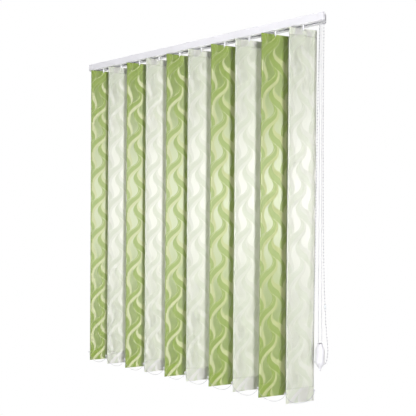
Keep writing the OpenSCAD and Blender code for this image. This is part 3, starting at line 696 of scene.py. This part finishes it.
def end_link_chain():
    left = [Vector((x / 1000 - EYE_X, WEIGHT_Y + y / 1000, EYE_Z + z / 1000)) for x, y, z in END_SWAG_HALF]
    low = Vector((0, WEIGHT_Y + END_SWAG_LOW[0] / 1000, EYE_Z + END_SWAG_LOW[1] / 1000))
    right = [Vector((-p.x, p.y, p.z)) for p in reversed(left)]
    route = [vane_frame(VANES) @ p for p in smooth(left + [low] + right, LINK_STEP)]
    bm = bmesh.new()
    add_tube(bm, route, link_radius, 8)
    chain = finish_mesh(bm, "end_link_chain_links", CHAIN_PLASTIC)
    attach(chain, f"vane_{VANES}")
    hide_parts("end_link_chain")


bead_chain()
draw_cord()
link_chain("front_link_chain", -1)
link_chain("back_link_chain", 1)
end_link_chain()

# Vanes: the folded strip of fabric and the stiff plate in its top pocket
COLUMNS_A_SIDE = 7
WAVE = 0.0012
WAVE_REACH = 0.7
WAVE_ALONG = 4.0
WAVE_ACROSS = 18
VANE_PHASE = (1.7, 0.9)
PLATE_HALF_W = 0.0615
PLATE_HALF_T = 0.0005
PLATE_DROP = 0.0015
PLATE_LOW = 0.029
PLATE_CORNER = 0.004
PLATE_CUT = 0.3 * PLATE_CORNER


def fabric_strip(i):
    """The folded strip with its hook hole and a slight wave, as a thin solid."""
    columns = [-VANE_W / 2 + VANE_W * k / (2 * COLUMNS_A_SIDE) for k in range(COLUMNS_A_SIDE)]
    columns += [-HOLE_HALF, HOLE_HALF] + [-x for x in reversed(columns)]
    mesh = bpy.data.meshes.new(f"vane_fabric_{i}")
    bm = bmesh.new()
    uv = bm.loops.layers.uv.new("cloth")
    place = vane_frame(i)
    middle = (VANE_TOP + VANE_BOTTOM) / 2
    along, across = (phase * i for phase in VANE_PHASE)
    grid = []
    for y, z in PROFILE:
        free = max(0.0, 1 - ((z - middle) / WAVE_REACH) ** 2)
        row = []
        for x in columns:
            wave = WAVE * free * math.sin(WAVE_ALONG * z + along) * math.cos(WAVE_ACROSS * x + across)
            row.append(bm.verts.new(place @ Vector((x, y + wave, z))))
        grid.append(row)
    for k in range(len(PROFILE) - 1):
        height = (PROFILE[k][1] + PROFILE[k + 1][1]) / 2
        on_hole = abs(height - (VANE_TOP - HOLE_DROP)) < HOLE_HALF / 2
        for c in range(len(columns) - 1):
            if on_hole and columns[c] == -HOLE_HALF:
                continue
            spots = ((k, c), (k + 1, c), (k + 1, c + 1), (k, c + 1))
            face = bm.faces.new([grid[row][col] for row, col in spots])
            face.smooth = True
            for loop, (row, col) in zip(face.loops, spots):
                loop[uv].uv = (columns[col] / VANE_W + 0.5, RUNS[row] / STRIP_L)
    bm.to_mesh(mesh)
    bm.free()
    strip = add_object(f"vane_fabric_{i}", mesh)
    thick = strip.modifiers.new("thickness", "SOLIDIFY")
    thick.thickness = FABRIC_T
    thick.offset = 0
    bpy.context.view_layer.update()
    made = bpy.data.meshes.new_from_object(strip.evaluated_get(bpy.context.evaluated_depsgraph_get()))
    strip.modifiers.clear()
    strip.data = made
    return strip


def hanger_plate(i):
    """The stiff plate in the top pocket, with the hook's hole and its lower corners cut."""
    top, low = VANE_TOP - PLATE_DROP, VANE_TOP - PLATE_LOW
    hole = VANE_TOP - HOLE_DROP
    inner = PLATE_HALF_W - PLATE_CORNER
    bm = bmesh.new()
    place = vane_frame(i)
    xs = [-PLATE_HALF_W, -inner, -HOLE_HALF, HOLE_HALF, inner, PLATE_HALF_W]
    zs = [top, hole + HOLE_HALF, hole - HOLE_HALF, low + PLATE_CORNER, low]
    hole_cell = (2, 1)
    spots = {}

    def vert(x, y, z):
        """A point of the plate, made once."""
        if z == low and abs(x) == PLATE_HALF_W:
            x, z = x * (1 - PLATE_CUT / PLATE_HALF_W), z + PLATE_CUT
        key = (round(x, 6), y, round(z, 6))
        if key not in spots:
            spots[key] = bm.verts.new(place @ Vector((x, y, z)))
        return spots[key]

    cells = [(c, r) for c in range(len(xs) - 1) for r in range(len(zs) - 1) if (c, r) != hole_cell]
    for c, r in cells:
        x0, x1, z0, z1 = xs[c], xs[c + 1], zs[r], zs[r + 1]
        corners = ((x0, z0), (x0, z1), (x1, z1), (x1, z0))
        bm.faces.new([vert(x, -PLATE_HALF_T, z) for x, z in corners])
        bm.faces.new([vert(x, PLATE_HALF_T, z) for x, z in (corners[0], *reversed(corners[1:]))])
        sides = (((c - 1, r), (x0, z0), (x0, z1)), ((c + 1, r), (x1, z1), (x1, z0)),
                 ((c, r - 1), (x1, z0), (x0, z0)), ((c, r + 1), (x0, z1), (x1, z1)))
        for near, a, b in sides:
            if near not in cells:
                rim = ((a, -PLATE_HALF_T), (a, PLATE_HALF_T), (b, PLATE_HALF_T), (b, -PLATE_HALF_T))
                bm.faces.new([vert(x, y, z) for (x, z), y in rim])
    return finish_mesh(bm, f"hanger_plate_{i}", WHITE_PLASTIC)


for i in range(1, VANES + 1):
    strip = fabric_strip(i)
    strip.data.materials.clear()
    strip.data.materials.append(GREEN if i % 2 else PALE)
    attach(strip, f"vane_{i}")
    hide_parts(f"slat_{i}")
    plate = hanger_plate(i)
    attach(plate, f"vane_{i}")


# Finishes of the CAD nodes; what isn't named is white plastic
FINISH = {"headrail": RAIL_WHITE, "mounting_clips": RAIL_WHITE, "axle_pins": SPRING_STEEL,
          "tilt_rod": ROD_ALUMINIUM, "rod_bush": CLEAR_PLASTIC, "chain_joiner": CLEAR_PLASTIC,
          "return_pulley": CLEAR_PLASTIC, "upper_pulley": CLEAR_PLASTIC, "lower_pulley": CLEAR_PLASTIC}
for name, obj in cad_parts.items():
    obj.data.materials.clear()
    obj.data.materials.append(FINISH.get(name, WHITE_PLASTIC))


# Floor, light and white surroundings
FLOOR_HALF = 14
FLOOR_DROP = 0.06
AIM_Z = VANE_TOP - 0.7


def only_for_camera(shader, seen, otherwise):
    """What the camera sees directly, and what lights the part."""
    path = shader.node("ShaderNodeLightPath")
    mix = shader.node("ShaderNodeMixShader")
    shader.link(path.outputs["Is Camera Ray"], mix.inputs[0])
    shader.link(otherwise, mix.inputs[1])
    shader.link(seen, mix.inputs[2])
    return mix.outputs[0]


def add_floor():
    mesh = bpy.data.meshes.new("floor")
    z = cad_box[0][2] - FLOOR_DROP
    corners = [(FLOOR_HALF * x, FLOOR_HALF * y, z) for x, y in ((-1, -1), (1, -1), (1, 1), (-1, 1))]
    mesh.from_pydata(corners, [], [(0, 1, 2, 3)])
    floor = add_object("floor", mesh)
    material, s, bsdf = new_material("pale_floor")
    bsdf.inputs["Base Color"].default_value = (0.6, 0.6, 0.6, 1)
    bsdf.inputs["Roughness"].default_value = 1.0
    glow = s.node("ShaderNodeEmission")
    output = material.node_tree.nodes["Material Output"]
    s.link(only_for_camera(s, glow.outputs[0], bsdf.outputs[0]), output.inputs[0])
    mesh.materials.append(material)


def add_area(name, place, target, size, strength, gleams=False):
    """A soft lamp whose light stays as strong along the whole rail."""
    data = bpy.data.lights.new(name, "AREA")
    data.shape = "RECTANGLE"
    data.size, data.size_y = size
    data.use_nodes = True
    s = Shader(data.node_tree)
    even = s.node("ShaderNodeLightFalloff")
    even.inputs["Strength"].default_value = strength
    s.link(even.outputs["Linear"], data.node_tree.nodes["Emission"].inputs["Strength"])
    lamp = add_object(name, data)
    lamp.visible_glossy = gleams
    lamp.location = place
    lamp.rotation_euler = (Vector(target) - Vector(place)).to_track_quat("-Z", "Y").to_euler()


def add_world():
    world = bpy.data.worlds.new("studio")
    scene.world = world
    world.use_nodes = True
    s = Shader(world.node_tree)
    soft = world.node_tree.nodes["Background"]
    soft.inputs["Color"].default_value = (1, 1, 1, 1)
    soft.inputs["Strength"].default_value = 0.1
    white = s.node("ShaderNodeBackground")
    white.inputs["Color"].default_value = (1, 1, 1, 1)
    output = world.node_tree.nodes["World Output"]
    s.link(only_for_camera(s, white.outputs[0], soft.outputs[0]), output.inputs[0])


add_floor()
add_world()
add_area("key", (1.58, -1.76, VANE_TOP - 0.575), (0, 0, AIM_Z), (0.3, 1.4), 2.3, gleams=True)
add_area("back", (-1.2, 2.2, AIM_Z), (0, 0, AIM_Z), (4.0, 3.0), 2.8)
add_area("fill", (-1.5, -2.0, VANE_TOP - 0.3), (0, 0, VANE_TOP - 0.3), (2.0, 1.5), 0.75)
add_area("low", (0.1, -1.5, VANE_BOTTOM + 0.15), (0, 0, 0), (1.6, 0.5), 0.5)
scene.view_settings.view_transform = "Standard"
